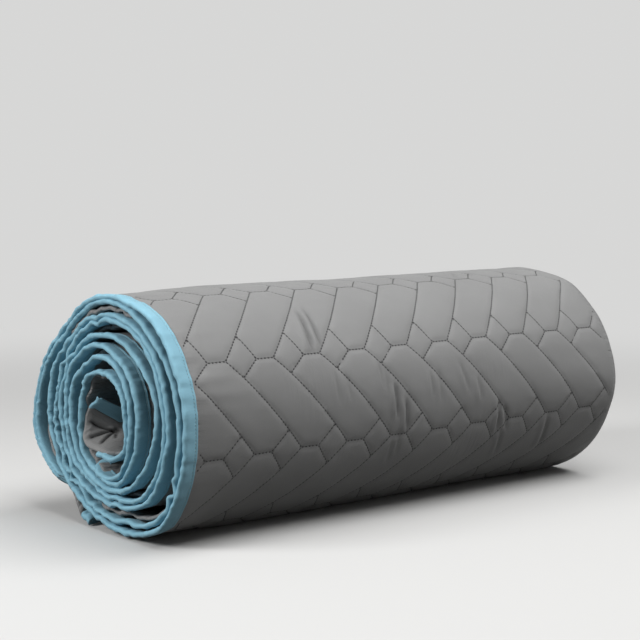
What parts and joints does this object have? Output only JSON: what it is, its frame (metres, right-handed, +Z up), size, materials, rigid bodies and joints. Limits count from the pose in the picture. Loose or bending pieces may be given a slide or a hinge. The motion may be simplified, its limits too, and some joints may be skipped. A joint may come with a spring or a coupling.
{
  "type": "rolled quilted coverlet",
  "caption": "Quilted coverlet with a contrasting binding, folded lengthwise into four layers and rolled into a loose cylinder that lies on its side.",
  "frame": {"origin": "on the surface that the roll lies on, under the middle of its bounding box", "axes": "+X along the roll, from the end with the bound edges to the end with the folded edge; +Z up"},
  "size_m": [0.6, 0.2802, 0.2357],
  "materials": {
    "quilted_cloth": "soft matt microfibre, welded quilting",
    "binding_cloth": "matt woven tape"
  },
  "bodies": {
    "root": {"quilted_panel": "quilted_cloth", "binding_outer_edge": "binding_cloth", "binding_inner_edge": "binding_cloth", "binding_free_end": "binding_cloth", "binding_core_end": "binding_cloth"}
  },
  "joints": []
}
